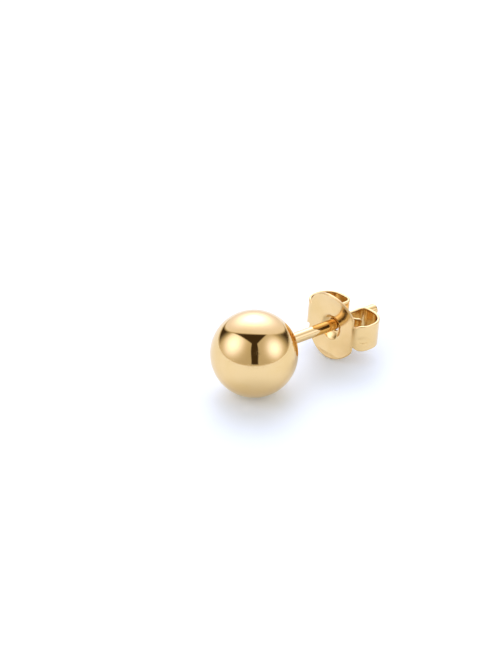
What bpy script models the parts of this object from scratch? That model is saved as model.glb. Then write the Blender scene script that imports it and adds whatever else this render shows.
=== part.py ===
"""Ball stud earring with its butterfly back, lying unworn on a table.

The stud is one soldered piece: a polished ball on a straight post. The back is one bent sheet: a
pierced, dished plate whose two arms curl back into scrolls that grip the post.

The stud's own frame has its origin in the ball's centre, +Y along the post, +Z up. The whole stud
leans by a few degrees, because it rests on the ball's lowest point and on the plate's lower lobe.
"""
import math

import bmesh
import bpy
import numpy as np

MM = 0.001

# Ball and post, in millimetres and degrees
BALL_RADIUS = 3.0
POST_RADIUS = 0.4
POST_REACH = 11.1           # ball centre to the end of the post
SOLDER_FILLET = 0.3
GROOVE_FROM_END = 1.1
GROOVE_WIDTH = 0.4
GROOVE_DEPTH = 0.04
GROOVE_FLOOR = 0.5          # share of the groove's width at its full depth
END_ROUNDING = 0.16

# Plate of the butterfly back
PLATE_PLACE = 7.0           # ball centre to the middle of the plate's sheet
SHEET = 0.2
PLATE_RADIUS = 2.42
LOBE_CURL = 0.3             # how far the upper and lower lobes curl towards the ball
CURL_POWER = 3.5            # how late the curl sets in between the post and the lobe's rim
FUNNEL_RADIUS = 0.95
FUNNEL_DEPTH = 0.32
FUNNEL_DROP = 0.12          # middle of the funnel's rim below the bore's middle
BORE_CLEARANCE = 0.07

# The back hangs a little askew on the post, within its clearance
ASKEW_CENTRE = 0.9          # middle of the plate's sheet to the point it turns about
ASKEW_PITCH = 0.3           # upper lobe away from the ball
ASKEW_YAW = 2.8             # right arm away from the ball

# Arms and scrolls of the butterfly back
ARM_HALF_WIDTH = 0.98
ARM_CORNER = 0.25
SCROLL_REACH = 2.76         # post axis to the outermost run of the sheet
ROOT_BEND = 0.85
FLANK_LENGTH = 0.3
OUTER_BEND = 1.31
INNER_BEND = 0.55
CURL_BEND = 0.55            # the arm's end, curled up inside the scroll
CURL_TURN = 175.0
CURL_GAP = 0.62             # middle of the plate's sheet to the curled end's nearest run
GRIP_CLEARANCE = 0.1

# Finish of the mesh
TURN_STEPS = 48
MERIDIAN_STEP = 7.8
FILLET_STEPS = 4
END_STEPS = 3
LOBE_STEPS = 20
ARM_WIDTH_STEPS = 8
FUNNEL_STEPS = 4
DISH_STEPS = 7
ARM_STEP = 0.19
SHARP_ANGLE = 40.0
MERGE_DISTANCE = 1e-7       # metres

GOLD_COLOUR = (0.86, 0.62, 0.30, 1.0)

QUARTER_TURN = math.pi / 2

# Sizes that follow from the ones above
BORE_RADIUS = POST_RADIUS + BORE_CLEARANCE
GRIP_PLACE = POST_RADIUS + GRIP_CLEARANCE + SHEET / 2
ARM_ROOT = math.sqrt(PLATE_RADIUS ** 2 - ARM_HALF_WIDTH ** 2)
CROSS_RUN = SCROLL_REACH - OUTER_BEND - INNER_BEND - GRIP_PLACE


def clear_scene():
    """Remove every object, so that the part stands alone."""
    for obj in list(bpy.data.objects):
        bpy.data.objects.remove(obj, do_unlink=True)


def polished_gold(name, roughness):
    """Gold-coloured metal of the given roughness."""
    material = bpy.data.materials.new(name)
    material.use_nodes = True
    shader = material.node_tree.nodes["Principled BSDF"]
    shader.inputs["Base Color"].default_value = GOLD_COLOUR
    shader.inputs["Metallic"].default_value = 1.0
    shader.inputs["Roughness"].default_value = roughness
    return material


def resting_lean():
    """Angle by which the post falls towards its end when the ball and the lower lobe both touch.

    The lobe touches with the rear edge of its rim, which the pitch brings nearer to the ball. Seen
    from the ball's centre that edge lies below the post by the angle atan(depth / distance), and it
    drops to the height of the ball's lowest point.
    """
    slope = math.atan(CURL_POWER * LOBE_CURL / PLATE_RADIUS)
    pitch = math.radians(ASKEW_PITCH)
    forward = ASKEW_CENTRE + LOBE_CURL - SHEET / 2 * math.cos(slope)
    below = PLATE_RADIUS + SHEET / 2 * math.sin(slope)
    distance = PLATE_PLACE + ASKEW_CENTRE - forward * math.cos(pitch) - below * math.sin(pitch)
    depth = below * math.cos(pitch) - forward * math.sin(pitch)
    return math.asin(BALL_RADIUS / math.hypot(distance, depth)) - math.atan2(depth, distance)


def arc_points(centre_r, centre_y, radius, start, end, steps):
    """Points (r, y) on an arc, from the start angle to the end angle, measured from +Y."""
    angles = np.linspace(start, end, steps + 1)
    return [(centre_r + radius * math.sin(a), centre_y + radius * math.cos(a)) for a in angles]


def stud_profile(lean):
    """Profile (r, y) of the ball, its solder fillet and the post, from the far pole to the end.

    One ring of the ball's points lies at the angle that points straight down, so the ball rests on
    its full radius.
    """
    joined = BALL_RADIUS + SOLDER_FILLET
    fillet_r = POST_RADIUS + SOLDER_FILLET
    fillet_y = math.sqrt(joined ** 2 - fillet_r ** 2)
    ball_end = math.asin(fillet_r / joined)
    step = math.radians(MERIDIAN_STEP)
    down = QUARTER_TURN - lean
    far_steps = round((math.pi - down) / step)
    near_steps = round((down - ball_end) / step)

    profile = arc_points(0, 0, BALL_RADIUS, math.pi, down, far_steps)
    profile += arc_points(0, 0, BALL_RADIUS, down, ball_end, near_steps)[1:]
    profile += arc_points(fillet_r, fillet_y, SOLDER_FILLET,
                          math.pi + ball_end, math.pi + QUARTER_TURN, FILLET_STEPS)[1:]

    groove = POST_REACH - GROOVE_FROM_END
    rim, floor = GROOVE_WIDTH / 2, GROOVE_WIDTH * GROOVE_FLOOR / 2
    for along, depth in ((-rim, 0), (-floor, GROOVE_DEPTH), (floor, GROOVE_DEPTH), (rim, 0)):
        profile.append((POST_RADIUS - depth, groove + along))
    end_r = POST_RADIUS - END_ROUNDING
    profile += arc_points(end_r, POST_REACH - END_ROUNDING, END_ROUNDING, QUARTER_TURN, 0, END_STEPS)
    profile.append((0, POST_REACH))
    return profile


def turned_mesh(name, profile):
    """Closed solid turned round the Y axis from a profile, with one line of points at the bottom."""
    mesh_data = bmesh.new()
    verts = [mesh_data.verts.new((0, y * MM, -r * MM)) for r, y in profile]
    edges = [mesh_data.edges.new(pair) for pair in zip(verts, verts[1:])]
    bmesh.ops.spin(mesh_data, geom=verts + edges, cent=(0, 0, 0), axis=(0, 1, 0), dvec=(0, 0, 0),
                   angle=2 * math.pi, steps=TURN_STEPS, use_merge=True, use_duplicate=False)
    bmesh.ops.remove_doubles(mesh_data, verts=mesh_data.verts, dist=MERGE_DISTANCE)
    bmesh.ops.recalc_face_normals(mesh_data, faces=mesh_data.faces)
    mesh = bpy.data.meshes.new(name)
    mesh_data.to_mesh(mesh)
    mesh_data.free()
    return mesh


def arm_segments():
    """Length and turn of each stretch of one arm, from the post axis to the curled end."""
    def bend(radius, degrees):
        return (radius * math.radians(degrees), math.radians(degrees))

    scroll_depth = ROOT_BEND + FLANK_LENGTH + OUTER_BEND
    grip_run = scroll_depth - INNER_BEND - CURL_BEND - CURL_GAP
    return [(SCROLL_REACH - ROOT_BEND, 0.0), bend(ROOT_BEND, 90), (FLANK_LENGTH, 0.0),
            bend(OUTER_BEND, 90), (CROSS_RUN, 0.0), bend(INNER_BEND, 90), (grip_run, 0.0),
            bend(CURL_BEND, CURL_TURN)]


def funnel_reach(run, height):
    """Distance from the bore's middle to the funnel's rim, towards a place on the blank.

    The rim is a circle whose middle lies FUNNEL_DROP below the bore's.
    """
    distance = math.hypot(run, height)
    across, up = FUNNEL_DROP * run / distance, FUNNEL_DROP * height / distance
    return math.sqrt(FUNNEL_RADIUS ** 2 - across ** 2) - up


def bent_point(run, height):
    """Point of the back's middle surface for a place on the flat blank, seen from the askew centre.

    run goes along the arm from the post axis, height across it. The sheet follows the arm's
    stretches in plan, is pushed towards the ball by the lobes' curl, which fades out along the
    arm, and away from the ball inside the funnel round the bore.
    """
    side = -1.0 if run < 0 else 1.0
    left = abs(run)
    x, y, heading = 0.0, 0.0, 0.0
    for length, turn in arm_segments():
        step = min(left, length)
        if turn:
            radius = length / turn
            after = heading + step / radius
            x += radius * (math.sin(after) - math.sin(heading))
            y += radius * (math.cos(heading) - math.cos(after))
            heading = after
        else:
            x += step * math.cos(heading)
            y += step * math.sin(heading)
        left -= step
        if left <= 0:
            break
    fade = min(1.0, max(0.0, 1.0 - (abs(run) - ARM_ROOT) / ROOT_BEND))
    push = -LOBE_CURL * (abs(height) / PLATE_RADIUS) ** CURL_POWER * fade
    distance, reach = math.hypot(run, height), funnel_reach(run, height)
    if distance < reach:
        push += FUNNEL_DEPTH * math.sin(QUARTER_TURN * (reach - distance) / (reach - BORE_RADIUS))
    x -= push * math.sin(heading)
    y += push * math.cos(heading) - ASKEW_CENTRE
    return (side * x * MM, y * MM, height * MM)


def plate_outline():
    """Places on the blank's outline round the plate, with the arms' roots as straight chords.

    The list goes once round from the lower corner of the right arm. Each lobe has a point exactly
    at its middle, so the lower lobe rests on its full radius.
    """
    root_angle = math.asin(ARM_HALF_WIDTH / PLATE_RADIUS)
    heights = np.linspace(-ARM_HALF_WIDTH, ARM_HALF_WIDTH, ARM_WIDTH_STEPS + 1)
    angles = np.linspace(root_angle, math.pi - root_angle, LOBE_STEPS + 1)
    right = [(ARM_ROOT, h) for h in heights[:-1]]
    upper = [(PLATE_RADIUS * math.cos(a), PLATE_RADIUS * math.sin(a)) for a in angles[:-1]]
    half = right + upper
    return half + [(-run, -height) for run, height in half]


def butterfly_mesh(name):
    """Middle surface of the back: rings from the bore over the funnel's rim to the outline, then two arms."""
    mesh_data = bmesh.new()
    outline = plate_outline()
    count = len(outline)
    rings = []
    for k in range(FUNNEL_STEPS + DISH_STEPS + 1):
        ring = []
        for run, height in outline:
            rim, reach = math.hypot(run, height), funnel_reach(run, height)
            if k <= FUNNEL_STEPS:
                distance = BORE_RADIUS + (reach - BORE_RADIUS) * k / FUNNEL_STEPS
            else:
                distance = reach + (rim - reach) * (k - FUNNEL_STEPS) / DISH_STEPS
            ring.append(mesh_data.verts.new(bent_point(run * distance / rim, height * distance / rim)))
        rings.append(ring)
    for inner, outer in zip(rings, rings[1:]):
        for i in range(count):
            j = (i + 1) % count
            mesh_data.faces.new((inner[i], inner[j], outer[j], outer[i]))

    arm_end = sum(length for length, _ in arm_segments())
    arm_steps = round((arm_end - ARM_CORNER - ARM_ROOT) / ARM_STEP)
    runs = list(np.linspace(ARM_ROOT, arm_end - ARM_CORNER, arm_steps + 1))[1:]
    widths = [ARM_HALF_WIDTH] * len(runs)
    for angle in np.linspace(0, QUARTER_TURN, END_STEPS + 1)[1:]:
        runs.append(arm_end - ARM_CORNER * (1 - math.sin(angle)))
        widths.append(ARM_HALF_WIDTH - ARM_CORNER * (1 - math.cos(angle)))
    shares = np.linspace(-1, 1, ARM_WIDTH_STEPS + 1)
    for side, first in ((1, 0), (-1, count // 2)):
        column = [rings[-1][(first + i) % count] for i in range(ARM_WIDTH_STEPS + 1)]
        for run, width in zip(runs, widths):
            after = [mesh_data.verts.new(bent_point(side * run, side * width * share)) for share in shares]
            for i in range(ARM_WIDTH_STEPS):
                mesh_data.faces.new((column[i], column[i + 1], after[i + 1], after[i]))
            column = after
    bmesh.ops.recalc_face_normals(mesh_data, faces=mesh_data.faces)
    mesh = bpy.data.meshes.new(name)
    mesh_data.to_mesh(mesh)
    mesh_data.free()
    return mesh


def place(mesh, material, parent, location):
    """Put a mesh in the scene as a named object on the given parent."""
    mesh.materials.append(material)
    obj = bpy.data.objects.new(mesh.name, mesh)
    bpy.context.scene.collection.objects.link(obj)
    obj.parent = parent
    obj.location = location
    return obj


def thicken(obj):
    """Give the sheet its thickness, half to each side of the middle surface."""
    solidify = obj.modifiers.new("sheet", "SOLIDIFY")
    solidify.thickness = SHEET * MM
    solidify.offset = 0.0
    solidify.use_even_offset = True
    solidify.use_quality_normals = True
    depsgraph = bpy.context.evaluated_depsgraph_get()
    solid = bpy.data.meshes.new_from_object(obj.evaluated_get(depsgraph))
    obj.modifiers.clear()
    middle = obj.data
    obj.data = solid
    bpy.data.meshes.remove(middle)


def shade(obj):
    """Smooth shading with sharp rims."""
    obj.data.shade_smooth()
    obj.data.set_sharp_from_angle(angle=math.radians(SHARP_ANGLE))


def seat(stud_frame, pieces):
    """Move the stud so that the middle of its bounding box's underside is the world origin."""
    bpy.context.view_layer.update()
    corners = np.array([piece.matrix_world @ vert.co for piece in pieces for vert in piece.data.vertices])
    low, high = corners.min(axis=0), corners.max(axis=0)
    stud_frame.location = (-(low[0] + high[0]) / 2, -(low[1] + high[1]) / 2, -low[2])
    bpy.context.view_layer.update()


def main():
    clear_scene()
    lean = resting_lean()
    stud_frame = bpy.data.objects.new("stud_frame", None)
    bpy.context.scene.collection.objects.link(stud_frame)
    stud_frame.rotation_euler = (-lean, 0, 0)

    stud = place(turned_mesh("ball_and_post", stud_profile(lean)),
                 polished_gold("polished_gold", 0.08), stud_frame, (0, 0, 0))
    back = place(butterfly_mesh("butterfly_back"),
                 polished_gold("pressed_gold", 0.14), stud_frame,
                 (0, (PLATE_PLACE + ASKEW_CENTRE) * MM, 0))
    back.rotation_euler = (-math.radians(ASKEW_PITCH), 0, math.radians(ASKEW_YAW))
    thicken(back)
    for piece in (stud, back):
        shade(piece)
    seat(stud_frame, (stud, back))


main()
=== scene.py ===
import math

import bmesh
import bpy
import numpy as np
from mathutils import Matrix, Vector


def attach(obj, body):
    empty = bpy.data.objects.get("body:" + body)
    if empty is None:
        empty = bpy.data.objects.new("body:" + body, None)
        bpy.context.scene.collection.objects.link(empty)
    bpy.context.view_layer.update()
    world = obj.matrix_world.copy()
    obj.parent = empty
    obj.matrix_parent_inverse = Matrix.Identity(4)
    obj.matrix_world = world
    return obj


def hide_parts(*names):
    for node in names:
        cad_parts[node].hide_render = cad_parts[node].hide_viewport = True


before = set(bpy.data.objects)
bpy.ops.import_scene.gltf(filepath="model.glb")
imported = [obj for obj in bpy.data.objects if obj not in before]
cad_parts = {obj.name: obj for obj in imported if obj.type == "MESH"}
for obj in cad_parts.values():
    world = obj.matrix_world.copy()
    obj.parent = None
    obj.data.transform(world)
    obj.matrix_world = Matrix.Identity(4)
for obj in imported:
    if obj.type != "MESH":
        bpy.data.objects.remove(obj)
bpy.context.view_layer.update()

MM = 0.001
QUARTER_TURN = math.pi / 2

# Sizes of the stud in millimetres and degrees, as in the part
BALL_RADIUS = 3.0
POST_RADIUS = 0.4
POST_REACH = 11.1
SOLDER_FILLET = 0.3
GROOVE_FROM_END = 1.1
GROOVE_WIDTH = 0.42
GROOVE_DEPTH = 0.045
END_ROUNDING = 0.17
BALL_CENTRE = (0.0, -4.04357, 3.0)
LEAN = 4.68981

PLATE_PLACE = 7.0
SHEET = 0.2
PLATE_RADIUS = 2.42
LOBE_CURL = 0.3
CURL_POWER = 3.5
FUNNEL_RADIUS = 0.95
FUNNEL_DEPTH = 0.32
FUNNEL_DROP = 0.12
BORE_RADIUS = 0.45
ASKEW_CENTRE = 0.9
ASKEW_PITCH = 0.3
ASKEW_YAW = 2.8

ARM_HALF_WIDTH = 0.98
ARM_CORNER = 0.25
SCROLL_REACH = 2.76
ROOT_BEND = 0.85
FLANK_LENGTH = 0.3
OUTER_BEND = 1.31
INNER_BEND = 0.55
CURL_BEND = 0.55
CURL_TURN = 175.0
CURL_GAP = 0.62
GRIP_PLACE = 0.6

# Finish of the cut and pressed sheet
EDGE_ROUNDING = 0.07
FUNNEL_ROUNDING = 0.16
NOTCH_DEPTH = 0.22
NOTCH_SPREAD = 0.14
NOTCH_WAY = (0.55, 0.835)                               # along the arm and across it
OVAL_PLACE = (2.84, -0.12)
OVAL_HALF = (0.36, 0.22)
OVAL_DEPTH = 0.045
OVAL_RIM = (0.85, 1.15)                                 # share of the oval's half sizes

# Points along each curve
BALL_STEPS = 150
FILLET_STEPS = 14
POST_STEPS = 42
GROOVE_STEPS = 17
END_STEPS = 12
FLAT_STEPS = 6
TURN_STEPS = 192
DISH_STEPS = 80
LOBE_STEPS = 121
ARM_STEPS = 150
ARM_CORNER_STEPS = 8
ARM_WIDTH_STEPS = 25
CUT_STEPS = 11

# Colours, and the roughness, swell (mm) and brushing of each finish
GOLD = (0.82, 0.582, 0.275)
DEEP_GOLD = (0.75, 0.50, 0.18)
HAZE_TINT = 0.35
LINE_TINT = 0.3
LINE_ROUGHNESS = 0.06
LINE_DEPTH = 0.0006
CUT_EDGE_ROUGHNESS = 0.2
POLISHED = {"roughness": 0.035, "haze_roughness": 0.03, "swell": 0.0004, "brushing": (9.0, 0.7, 9.0)}
PRESSED = {"roughness": 0.12, "haze_roughness": 0.06, "swell": 0.009, "brushing": (0.6, 11.0, 1.0)}

# Camera, table and light, in millimetres, degrees and brightness
AZIMUTH = 50.17
ELEVATION = 32.9
DISTANCE = 164.1
LENS = 132.0
SHIFT_RIGHT = -0.275
SHIFT_UP = 1.487
TABLE_REACH = 3000.0
TABLE = ((0.90, 0.94, 0.94), (0.92, 0.96, 0.96))
# painted glow of the table, which lightens and cools the shadows that fall on it
TABLE_SHADOW_LIFT_GLOW = (0.075, 0.10, 0.105)
SOFTBOX = 0.94
SOFTBOX_PLACE = (177, 45)                               # to the right of the camera's side, and up
SOFTBOX_EDGE = (48, 53)                                 # from its middle
SOFTBOX_LAMP = ((180, 44), 13.0, 2.7)                   # middle, narrowness and brightness
PANEL = 0.56
PANELS = (                                              # side, inner, outer and top edge, and lamp
    (-1, (5.2, 8.6), (104, 128), (0.647, 0.618, -0.449), ((-77, 36), 10.0, 1.5)),
    (1, (8.3, 12.6), (94, 124), (0.763, 0.489, -0.421), ((68, 28), 14.0, 1.35)),
)
PANEL_LEAN = 4.5                                        # by which the inner edges part
PANEL_LEAN_RANGE = (10, 55)                             # between these elevations
PANEL_TOP_BLUR = 0.03
SWEEP = 0.75                                            # far edge of the table, raised a little
SWEEP_EDGE = (1, 7)
DARK_ROOM = (0.06, 0.04, 0.02)
WARM_LIGHT = (1.0, 0.95, 0.80)                          # colour of the dim and of the bright light
COOL_LIGHT = (1.0, 1.05, 1.36)
WARM_TO_COOL = (0.4, 1.3)                               # brightnesses between which it changes


# ---------------------------------------------------------------- shapes

def add_mesh(name, points, faces):
    """Smooth mesh object of points in metres and faces as rows of point numbers."""
    mesh = bpy.data.meshes.new(name)
    mesh.from_pydata(points.tolist(), [], faces)
    mesh.shade_smooth()
    obj = bpy.data.objects.new(name, mesh)
    bpy.context.scene.collection.objects.link(obj)
    return obj


def grid_faces(index, closed=False):
    """Quads (i, j), (i, j+1), (i+1, j+1), (i+1, j) of a grid of point numbers.

    A closed grid's last column is joined to its first.
    """
    left = index if closed else index[:, :-1]
    right = np.roll(index, -1, axis=1) if closed else index[:, 1:]
    return np.stack([left[:-1], right[:-1], right[1:], left[1:]], axis=-1).reshape(-1, 4)


def lean_to_table(points):
    """Stud frame to table frame: turn about X by -lean, then move the ball's centre to its place."""
    c, s = math.cos(math.radians(LEAN)), math.sin(math.radians(LEAN))
    x, y, z = points[..., 0], points[..., 1], points[..., 2]
    return np.stack([x, y * c + z * s, z * c - y * s], axis=-1) + np.array(BALL_CENTRE)


def arc(centre_r, centre_y, radius, start, end, steps):
    """Points (centre_r + radius sin a, centre_y + radius cos a) for a from start to end."""
    a = np.linspace(start, end, steps)
    return np.stack([centre_r + radius * np.sin(a), centre_y + radius * np.cos(a)], axis=1)


def stud_profile():
    """Profile (r, y) from the ball's far pole to the middle of the post's end.

    Ball (R sin a, R cos a); fillet, a circle of radius f centred at r = p + f and R + f from the
    ball's centre; post r = p; groove r = p - d (1 + cos(2 pi t)) / 2 for t from -1/2 to 1/2; end,
    a quarter circle and a flat.
    """
    fillet_r = POST_RADIUS + SOLDER_FILLET
    joined = BALL_RADIUS + SOLDER_FILLET
    fillet_y = math.sqrt(joined ** 2 - fillet_r ** 2)
    meet = math.asin(fillet_r / joined)
    ball = arc(0, 0, BALL_RADIUS, math.pi, meet, BALL_STEPS)
    fillet = arc(fillet_r, fillet_y, SOLDER_FILLET, math.pi + meet, 3 * QUARTER_TURN, FILLET_STEPS)
    groove_y = POST_REACH - GROOVE_FROM_END
    t = np.linspace(-0.5, 0.5, GROOVE_STEPS)
    dip = POST_RADIUS - GROOVE_DEPTH * (1 + np.cos(2 * np.pi * t)) / 2
    groove = np.stack([dip, groove_y + t * GROOVE_WIDTH], axis=1)
    run = np.linspace(fillet_y, groove_y - GROOVE_WIDTH / 2, POST_STEPS)[1:-1]
    post = np.stack([np.full_like(run, POST_RADIUS), run], axis=1)
    flat_from = POST_RADIUS - END_ROUNDING
    end = arc(flat_from, POST_REACH - END_ROUNDING, END_ROUNDING, QUARTER_TURN, 0, END_STEPS)
    flat_r = np.linspace(flat_from, 0, FLAT_STEPS)[1:]
    flat = np.stack([flat_r, np.full_like(flat_r, POST_REACH)], axis=1)
    return np.concatenate([ball, fillet[1:], post, groove, end, flat])


def turned_stud(name):
    """Surface of revolution (r sin u, y, -r cos u) about the post's axis, with a point at each pole."""
    profile = stud_profile()
    r, y = profile[1:-1, 0], profile[1:-1, 1]
    u = np.linspace(0, 2 * np.pi, TURN_STEPS, endpoint=False)
    around, along = np.outer(r, np.sin(u)), np.outer(y, np.ones(TURN_STEPS))
    rings = np.stack([around, along, -np.outer(r, np.cos(u))], axis=-1)
    poles = np.array([[0, profile[0, 1], 0], [0, profile[-1, 1], 0]])
    points = np.concatenate([rings.reshape(-1, 3), poles])
    index = np.arange(len(r) * TURN_STEPS).reshape(len(r), TURN_STEPS)
    far, near = np.full(TURN_STEPS, len(points) - 2), np.full(TURN_STEPS, len(points) - 1)
    first, last = index[0], index[-1]
    caps = np.concatenate([np.stack([far, np.roll(first, -1), first], axis=1),
                           np.stack([near, last, np.roll(last, -1)], axis=1)])
    faces = grid_faces(index, closed=True).tolist() + caps.tolist()
    return add_mesh(name, lean_to_table(points) * MM, faces)


def arm_stretches():
    """(length, turn) of each stretch of one arm, from the post axis to the curled end."""
    def bend(radius, degrees):
        return (radius * math.radians(degrees), math.radians(degrees))

    cross = SCROLL_REACH - OUTER_BEND - INNER_BEND - GRIP_PLACE
    depth = ROOT_BEND + FLANK_LENGTH + OUTER_BEND
    grip = depth - INNER_BEND - CURL_BEND - CURL_GAP
    return [(SCROLL_REACH - ROOT_BEND, 0.0), bend(ROOT_BEND, 90), (FLANK_LENGTH, 0.0),
            bend(OUTER_BEND, 90), (cross, 0.0), bend(INNER_BEND, 90), (grip, 0.0),
            bend(CURL_BEND, CURL_TURN)]


STRETCHES = arm_stretches()
ARM_LENGTH = sum(length for length, _ in STRETCHES)
ARM_ROOT = math.sqrt(PLATE_RADIUS ** 2 - ARM_HALF_WIDTH ** 2)


def middle_surface(run, height):
    """Middle of the bent sheet for places (run, height) on the flat blank.

    In plan the sheet follows the arm's stretches: straight x += s cos h, y += s sin h, or a bend of
    radius q, x += q (sin h' - sin h), y += q (cos h - cos h'). It is then pushed along its plan
    normal (-sin h, cos h) by the lobes' curl -c (|height| / R)^k, which fades out along the arm,
    and in the funnel by f sin(pi t / 2), where t falls from 1 at the bore to 0 at the funnel's rim,
    a circle set a little lower, and is rounded there: (t + w)^2 / (4 w) for |t| < w.
    """
    side, left = np.where(run < 0, -1.0, 1.0), np.abs(run)
    x, y, heading = np.zeros_like(left), np.zeros_like(left), np.zeros_like(left)
    for length, turn in STRETCHES:
        step = np.clip(left, 0, length)
        if turn:
            radius = length / turn
            after = heading + step / radius
            x = x + radius * (np.sin(after) - np.sin(heading))
            y = y + radius * (np.cos(heading) - np.cos(after))
            heading = after
        else:
            x, y = x + step * np.cos(heading), y + step * np.sin(heading)
        left = left - step
    fade = np.clip(1 - (np.abs(run) - ARM_ROOT) / ROOT_BEND, 0, 1)
    push = -LOBE_CURL * (np.abs(height) / PLATE_RADIUS) ** CURL_POWER * fade
    distance = np.hypot(run, height)
    across, up = FUNNEL_DROP * run / distance, FUNNEL_DROP * height / distance
    reach = np.sqrt(FUNNEL_RADIUS ** 2 - across ** 2) - up
    t, w = (reach - distance) / (reach - BORE_RADIUS), FUNNEL_ROUNDING
    t = np.where(t > w, np.minimum(t, 1), np.clip(t + w, 0, None) ** 2 / (4 * w))
    push = push + FUNNEL_DEPTH * np.sin(QUARTER_TURN * t)
    return np.stack([side * (x - push * np.sin(heading)), y + push * np.cos(heading), height], axis=-1)


def bent_sheet(run, height, offset):
    """Points of the back in the table frame.

    Each is the middle surface plus offset times its unit normal dP/dheight x dP/drun. The sheet is
    then turned askew on the post by the yaw and the pitch.
    """
    d = 1e-4
    along = middle_surface(run + d, height) - middle_surface(run - d, height)
    across = middle_surface(run, height + d) - middle_surface(run, height - d)
    normal = np.cross(across, along)
    normal /= np.linalg.norm(normal, axis=-1, keepdims=True)
    points = middle_surface(run, height) + normal * offset[..., None] - np.array([0, ASKEW_CENTRE, 0])
    yaw = Matrix.Rotation(math.radians(ASKEW_YAW), 3, "Z")
    pitch = Matrix.Rotation(-math.radians(ASKEW_PITCH), 3, "X")
    turned = points @ np.array(yaw @ pitch).T
    return lean_to_table(turned + np.array([0, PLATE_PLACE + ASKEW_CENTRE, 0]))


def relief_notches(run, height):
    """Small dents at the arms' four roots.

    p - d b exp(-|p - root|^2 / (2 s^2)), where b is the corner's outward bisector.
    """
    distance = (np.abs(run) - ARM_ROOT) ** 2 + (np.abs(height) - ARM_HALF_WIDTH) ** 2
    dent = NOTCH_DEPTH * np.exp(-distance / (2 * NOTCH_SPREAD ** 2))
    return run - np.sign(run) * NOTCH_WAY[0] * dent, height - np.sign(height) * NOTCH_WAY[1] * dent


def blank_oval(run, height):
    """Shallow oval pressed into the right arm's outer face: depth times a smooth step at its rim."""
    reach = np.hypot((run - OVAL_PLACE[0]) / OVAL_HALF[0], (height - OVAL_PLACE[1]) / OVAL_HALF[1])
    step = np.clip((OVAL_RIM[1] - reach) / (OVAL_RIM[1] - OVAL_RIM[0]), 0, 1)
    return OVAL_DEPTH * step * step * (3 - 2 * step)


def lobe_edge(inset):
    """Upper lobe R (cos a, sin a) from the right root to the left one, moved inwards by inset."""
    w, radius = ARM_HALF_WIDTH - inset, PLATE_RADIUS - inset
    start = math.asin(w / radius)
    a = np.linspace(start, math.pi - start, LOBE_STEPS)
    return radius * np.stack([np.cos(a), np.sin(a)], axis=1)


def plate_ring(inset):
    """Closed outline of the plate, moved inwards: a chord at each arm's root and two lobes."""
    w, radius = ARM_HALF_WIDTH - inset, PLATE_RADIUS - inset
    root = math.sqrt(radius ** 2 - w ** 2)
    chord_h = np.linspace(-w, w, ARM_WIDTH_STEPS)[:-1]
    chord = np.stack([np.full_like(chord_h, root), chord_h], axis=1)
    lobe = lobe_edge(inset)[:-1]
    return np.concatenate([chord, lobe, -chord, -lobe])


def arm_grid(inset):
    """Right arm from its root to its rounded end: rows run along the arm, columns across it."""
    w, corner, tip = ARM_HALF_WIDTH - inset, ARM_CORNER - inset, ARM_LENGTH - inset
    root = math.sqrt((PLATE_RADIUS - inset) ** 2 - w ** 2)
    a = np.linspace(0, QUARTER_TURN, ARM_CORNER_STEPS)[1:]
    straight = np.linspace(root, tip - corner, ARM_STEPS)
    run = np.concatenate([straight, tip - corner * (1 - np.sin(a))])
    half = np.concatenate([np.full(ARM_STEPS, w), w - corner * (1 - np.cos(a))])
    share = np.linspace(-1, 1, ARM_WIDTH_STEPS)
    return np.stack([np.repeat(run[:, None], ARM_WIDTH_STEPS, axis=1), half[:, None] * share], axis=-1)


def arm_edge(inset):
    """Outline of the right arm from its lower root round the end to its upper root."""
    grid = arm_grid(inset)
    return np.concatenate([grid[:-1, 0], grid[-1], grid[-2::-1, -1]])


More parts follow.
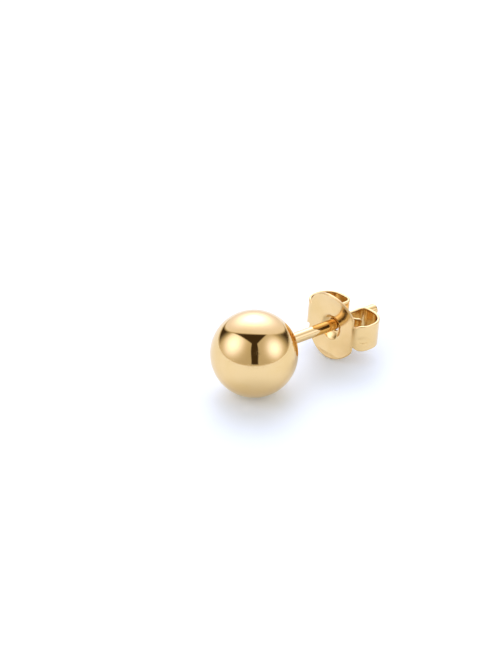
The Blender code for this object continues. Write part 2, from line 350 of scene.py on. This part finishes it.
def pressed_back(name):
    """The butterfly back as one closed sheet.

    Front and back faces are grids at -t/2 and +t/2 from the middle surface. Every cut edge is a
    half ellipse: inset e (1 - cos a), offset (t/2) sin a, for a from -90 to 90 degrees. The grids
    share their border places with the edge strips and are welded there.
    """
    half_turns = np.linspace(-QUARTER_TURN, QUARTER_TURN, CUT_STEPS)
    insets = EDGE_ROUNDING * (1 - np.cos(half_turns))
    offsets = SHEET / 2 * np.sin(half_turns)

    def with_offset(places, offset):
        return np.concatenate([places, np.full(places.shape[:-1] + (1,), offset)], axis=-1)

    ring = plate_ring(EDGE_ROUNDING)
    outward = ring / np.linalg.norm(ring, axis=1, keepdims=True)
    share = np.linspace(0, 1, DISH_STEPS)[:, None, None]
    plate = outward * (BORE_RADIUS + EDGE_ROUNDING) * (1 - share) + ring * share
    patches = []
    for offset in (-SHEET / 2, SHEET / 2):
        patches.append((with_offset(plate, offset), True, 0.0))
        arm = with_offset(arm_grid(EDGE_ROUNDING), offset)
        patches += [(arm, False, 0.0), (arm * [-1, -1, 1], False, 0.0)]
    bore = [with_offset(outward * (BORE_RADIUS + e), o) for e, o in zip(insets, offsets)]
    patches.append((np.stack(bore), True, 1.0))
    for outline in (lobe_edge, arm_edge):
        strip = np.stack([with_offset(outline(e), o) for e, o in zip(insets, offsets)])
        patches += [(strip, False, 1.0), (strip * [-1, -1, 1], False, 1.0)]

    places = np.concatenate([patch.reshape(-1, 3) for patch, _, _ in patches])
    edge = np.concatenate([np.full(patch[..., 0].size, value) for patch, _, value in patches])
    _, first, welded = np.unique(np.round(places, 5), axis=0, return_index=True, return_inverse=True)
    faces, start = [], 0
    for patch, closed, _ in patches:
        index = welded.reshape(-1)[start:start + patch[..., 0].size].reshape(patch.shape[:2])
        faces.append(grid_faces(index, closed))
        start += patch[..., 0].size
    run, height = relief_notches(places[first, 0], places[first, 1])
    offset = places[first, 2] + blank_oval(run, height) * (places[first, 2] < 0)
    points = bent_sheet(run, height, offset)

    obj = add_mesh(name, points * MM, np.concatenate(faces).tolist())
    shell = bmesh.new()
    shell.from_mesh(obj.data)
    bmesh.ops.recalc_face_normals(shell, faces=shell.faces)
    shell.to_mesh(obj.data)
    shell.free()
    write_places(obj.data, run, height, edge[first])
    return obj


def write_places(mesh, run, height, edge):
    """Keep each point's place on the blank as the UV map, in centimetres, and mark the cut edges."""
    corner_points = np.empty(len(mesh.loops), np.int32)
    mesh.loops.foreach_get("vertex_index", corner_points)
    uv = np.stack([run, height], axis=1)[corner_points] / 10
    mesh.uv_layers.new(name="blank").data.foreach_set("uv", uv.astype(np.float32).ravel())
    cut_edge = mesh.attributes.new("cut_edge", "FLOAT", "POINT")
    cut_edge.data.foreach_set("value", edge.astype(np.float32))


# ---------------------------------------------------------------- finishes

def feed(tree, socket, value):
    """Link a socket to the input, or set the input to a number or vector."""
    if isinstance(value, bpy.types.NodeSocket):
        tree.links.new(value, socket)
    else:
        socket.default_value = value


def math_node(tree, operation, *values):
    """Maths node whose inputs are the given sockets or numbers."""
    node = tree.nodes.new("ShaderNodeMath")
    node.operation = operation
    for socket, value in zip(node.inputs, values):
        feed(tree, socket, value)
    return node.outputs[0]


def vector_node(tree, operation, *values):
    """Vector maths node whose inputs are the given sockets or vectors."""
    node = tree.nodes.new("ShaderNodeVectorMath")
    node.operation = operation
    for socket, value in zip(node.inputs, values):
        feed(tree, socket, value)
    return node.outputs["Value" if operation == "DOT_PRODUCT" else "Vector"]


def noise(tree, vector, scale, detail, roughness):
    """Noise texture's value at a vector."""
    node = tree.nodes.new("ShaderNodeTexNoise")
    settings = (("Vector", vector), ("Scale", scale), ("Detail", detail), ("Roughness", roughness))
    for name, value in settings:
        feed(tree, node.inputs[name], value)
    return node.outputs["Fac"]


def spread(tree, value, old_range, new_range):
    """Smooth map of a value from one range to another."""
    node = tree.nodes.new("ShaderNodeMapRange")
    node.interpolation_type = "SMOOTHSTEP"
    ends = (*old_range, *new_range)
    for name, number in zip(("Value", "From Min", "From Max", "To Min", "To Max"), (value, *ends)):
        feed(tree, node.inputs[name], number)
    return node.outputs["Result"]


def mix_colours(tree, factor, first, second):
    """Mix of two colours by a socket's value."""
    node = tree.nodes.new("ShaderNodeMix")
    node.data_type = "RGBA"
    feed(tree, node.inputs["Factor"], factor)
    feed(tree, node.inputs[6], (*first, 1.0))
    feed(tree, node.inputs[7], (*second, 1.0))
    return node.outputs[2]


def gold_wear_group():
    """Shared wear of gold, from a place in millimetres.

    Haze is a slow noise for finger marks, Lines are fine hair scratches, thin bands of a stretched
    noise's middle value, and Swell is the faint unevenness left by polishing.
    """
    tree = bpy.data.node_groups.new("gold_wear", "ShaderNodeTree")
    face = tree.interface
    face.new_socket("Place", in_out="INPUT", socket_type="NodeSocketVector")
    face.new_socket("Stretch", in_out="INPUT", socket_type="NodeSocketVector")
    for name in ("Haze", "Lines", "Swell"):
        face.new_socket(name, in_out="OUTPUT", socket_type="NodeSocketFloat")
    given = tree.nodes.new("NodeGroupInput").outputs
    result = tree.nodes.new("NodeGroupOutput").inputs

    cloudy = noise(tree, given["Place"], scale=0.55, detail=3.0, roughness=0.55)
    feed(tree, result["Haze"], spread(tree, cloudy, (0.38, 0.68), (0.0, 1.0)))

    drawn = vector_node(tree, "MULTIPLY", given["Place"], given["Stretch"])
    streaks = noise(tree, drawn, scale=1.0, detail=2.0, roughness=0.5)
    band = math_node(tree, "ABSOLUTE", math_node(tree, "SUBTRACT", streaks, 0.5))
    thin = spread(tree, band, (0.0, 0.02), (1.0, 0.0))
    patches = noise(tree, given["Place"], scale=0.9, detail=1.0, roughness=0.5)
    patchy = spread(tree, patches, (0.5, 0.64), (0.0, 1.0))
    feed(tree, result["Lines"], math_node(tree, "MULTIPLY", thin, patchy))

    feed(tree, result["Swell"], noise(tree, given["Place"], scale=0.8, detail=1.0, roughness=0.4))
    return tree


def gold_finish(name, wear_group, from_blank, roughness, haze_roughness, swell, brushing):
    """Gold of the given roughness, with haze and hair scratches.

    They roughen it, deepen its colour a little and tilt its normals. Pressed gold takes its places
    from the flat blank, and its cut edges are rougher.
    """
    material = bpy.data.materials.new(name)
    material.use_nodes = True
    tree = material.node_tree
    shader = tree.nodes["Principled BSDF"]
    coordinates = tree.nodes.new("ShaderNodeTexCoord").outputs["UV" if from_blank else "Object"]
    to_millimetres = (10.0, 10.0, 0.0) if from_blank else (1000.0, 1000.0, 1000.0)
    wear = tree.nodes.new("ShaderNodeGroup")
    wear.node_tree = wear_group
    feed(tree, wear.inputs["Place"], vector_node(tree, "MULTIPLY", coordinates, to_millimetres))
    feed(tree, wear.inputs["Stretch"], brushing)
    haze, lines, uneven = (wear.outputs[key] for key in ("Haze", "Lines", "Swell"))

    dull = math_node(tree, "MULTIPLY_ADD", haze, haze_roughness, roughness)
    dull = math_node(tree, "MULTIPLY_ADD", lines, LINE_ROUGHNESS, dull)
    if from_blank:
        cut = tree.nodes.new("ShaderNodeAttribute")
        cut.attribute_name = "cut_edge"
        dull = math_node(tree, "MULTIPLY_ADD", cut.outputs["Fac"], CUT_EDGE_ROUGHNESS, dull)
    feed(tree, shader.inputs["Roughness"], dull)
    tint = math_node(tree, "MULTIPLY_ADD", lines, LINE_TINT, math_node(tree, "MULTIPLY", haze, HAZE_TINT))
    feed(tree, shader.inputs["Base Color"], mix_colours(tree, tint, GOLD, DEEP_GOLD))
    feed(tree, shader.inputs["Metallic"], 1.0)
    bump = tree.nodes.new("ShaderNodeBump")
    feed(tree, bump.inputs["Strength"], 1.0)
    feed(tree, bump.inputs["Distance"], MM)
    swells = math_node(tree, "MULTIPLY", uneven, swell)
    feed(tree, bump.inputs["Height"], math_node(tree, "MULTIPLY_ADD", lines, -LINE_DEPTH, swells))
    feed(tree, shader.inputs["Normal"], bump.outputs["Normal"])
    return material


def table_finish():
    """White table with a barely visible mottle, and a faint painted glow that lightens and cools the
    shadows on it.
    """
    material = bpy.data.materials.new("white_table")
    material.use_nodes = True
    tree = material.node_tree
    shader = tree.nodes["Principled BSDF"]
    coordinates = tree.nodes.new("ShaderNodeTexCoord").outputs["Object"]
    place = vector_node(tree, "MULTIPLY", coordinates, (60.0, 60.0, 60.0))
    mottle = noise(tree, place, scale=1.0, detail=3.0, roughness=0.5)
    feed(tree, shader.inputs["Base Color"], mix_colours(tree, mottle, *TABLE))
    # The glow is painted light: it lightens and cools the table's shadows
    feed(tree, shader.inputs["Emission Color"], (*TABLE_SHADOW_LIFT_GLOW, 1.0))
    feed(tree, shader.inputs["Emission Strength"], 1.0)
    feed(tree, shader.inputs["Roughness"], 0.7)
    feed(tree, shader.inputs["Specular IOR Level"], 0.1)
    return material


# ---------------------------------------------------------------- the stud

wear_group = gold_wear_group()
stud = turned_stud("polished_ball_and_post")
stud.data.materials.append(gold_finish("polished_gold", wear_group, False, **POLISHED))
back = pressed_back("pressed_butterfly_back")
back.data.materials.append(gold_finish("pressed_gold", wear_group, True, **PRESSED))

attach(stud, "stud")
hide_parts("ball_and_post")
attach(back, "back")
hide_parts("butterfly_back")


# ---------------------------------------------------------------- table, camera and light

def add_table():
    """Wide flat table top at the stud's resting height."""
    reach = TABLE_REACH * MM
    corners = np.array([[-reach, -reach, 0], [reach, -reach, 0], [reach, reach, 0], [-reach, reach, 0]])
    table = add_mesh("table", corners, [[0, 1, 2, 3]])
    table.data.materials.append(table_finish())


def view_axes():
    """Unit vectors from the stud towards the camera, to the picture's right and to its top."""
    a = math.radians(AZIMUTH)
    back_way = Vector(towards(0, ELEVATION))
    right = Vector((math.cos(a), math.sin(a), 0))
    return back_way, right, back_way.cross(right)


def add_camera():
    """Camera at the picture's angle, moved in its own plane until the ball is in its place."""
    back_way, right, up = view_axes()
    data = bpy.data.cameras.new("camera")
    data.lens = LENS
    data.clip_start = MM
    camera = bpy.data.objects.new("camera", data)
    bpy.context.scene.collection.objects.link(camera)
    place = Vector(BALL_CENTRE) + back_way * DISTANCE + right * SHIFT_RIGHT + up * SHIFT_UP
    turn = Matrix((right, up, back_way)).transposed().to_4x4()
    camera.matrix_world = Matrix.Translation(place * MM) @ turn
    bpy.context.scene.camera = camera


def towards(relative, elevation):
    """Unit vector at an angle to the right of the camera's side of the table, and above it."""
    a, e = math.radians(AZIMUTH + relative), math.radians(elevation)
    return (math.sin(a) * math.cos(e), -math.cos(a) * math.cos(e), math.sin(e))


def sines(angles):
    """Sines of a pair of angles in degrees."""
    return [math.sin(math.radians(angle)) for angle in angles]


def add_studio():
    """Studio round the table, as brightness over direction.

    A large softbox hangs behind and above the stud, with a hot middle. A tall panel stands on each
    side of the camera, lit from a lamp at its middle, and between them the room is dark. Bright
    light is cooler than dim light.
    """
    world = bpy.data.worlds.new("studio")
    bpy.context.scene.world = world
    world.use_nodes = True
    tree = world.node_tree
    direction = tree.nodes.new("ShaderNodeTexCoord").outputs["Generated"]
    across = vector_node(tree, "DOT_PRODUCT", direction, towards(90, 0))
    forward = vector_node(tree, "DOT_PRODUCT", direction, towards(0, 0))
    upward = vector_node(tree, "DOT_PRODUCT", direction, (0, 0, 1))

    def cone(middle, edge):
        near = vector_node(tree, "DOT_PRODUCT", direction, towards(*middle))
        inner, outer = (math.cos(math.radians(angle)) for angle in edge)
        return spread(tree, near, (outer, inner), (0.0, 1.0))

    def lamp(middle, narrowness, brightness):
        near = vector_node(tree, "DOT_PRODUCT", direction, towards(*middle))
        glow = math_node(tree, "POWER", math_node(tree, "MAXIMUM", near, 0.0), narrowness)
        return math_node(tree, "MULTIPLY", glow, brightness)

    softbox = cone(SOFTBOX_PLACE, SOFTBOX_EDGE)
    total = math_node(tree, "MULTIPLY", softbox, math_node(tree, "ADD", lamp(*SOFTBOX_LAMP), SOFTBOX))
    outside = math_node(tree, "SUBTRACT", 1.0, softbox)
    leaning = spread(tree, upward, sines(PANEL_LEAN_RANGE), (0.0, math.radians(PANEL_LEAN)))
    for side, inner_edge, outer_edge, top_edge, panel_lamp in PANELS:
        aside = math_node(tree, "ARCTAN2", math_node(tree, "MULTIPLY", across, side), forward)
        inwards = math_node(tree, "SUBTRACT", aside, leaning)
        begins = spread(tree, inwards, [math.radians(angle) for angle in inner_edge], (0.0, 1.0))
        ends = spread(tree, aside, [math.radians(angle) for angle in outer_edge], (1.0, 0.0))
        downwards = Vector(towards(90, 0)) * side * top_edge[0] + Vector(towards(0, 0)) * top_edge[1]
        downwards.z = top_edge[2]
        below = vector_node(tree, "DOT_PRODUCT", direction, downwards)
        low = spread(tree, below, (-PANEL_TOP_BLUR, PANEL_TOP_BLUR), (0.0, 1.0))
        panel = math_node(tree, "ADD", lamp(*panel_lamp), PANEL)
        for mask in (begins, ends, low, outside):
            panel = math_node(tree, "MULTIPLY", panel, mask)
        total = math_node(tree, "ADD", total, panel)
    total = math_node(tree, "MAXIMUM", total, spread(tree, upward, sines(SWEEP_EDGE), (SWEEP, 0.0)))
    coolness = spread(tree, total, WARM_TO_COOL, (0.0, 1.0))
    light = vector_node(tree, "SCALE", mix_colours(tree, coolness, WARM_LIGHT, COOL_LIGHT))
    feed(tree, light.node.inputs["Scale"], total)
    feed(tree, tree.nodes["Background"].inputs["Color"], vector_node(tree, "ADD", light, DARK_ROOM))


add_table()
add_camera()
add_studio()
bpy.context.scene.view_settings.view_transform = "Standard"
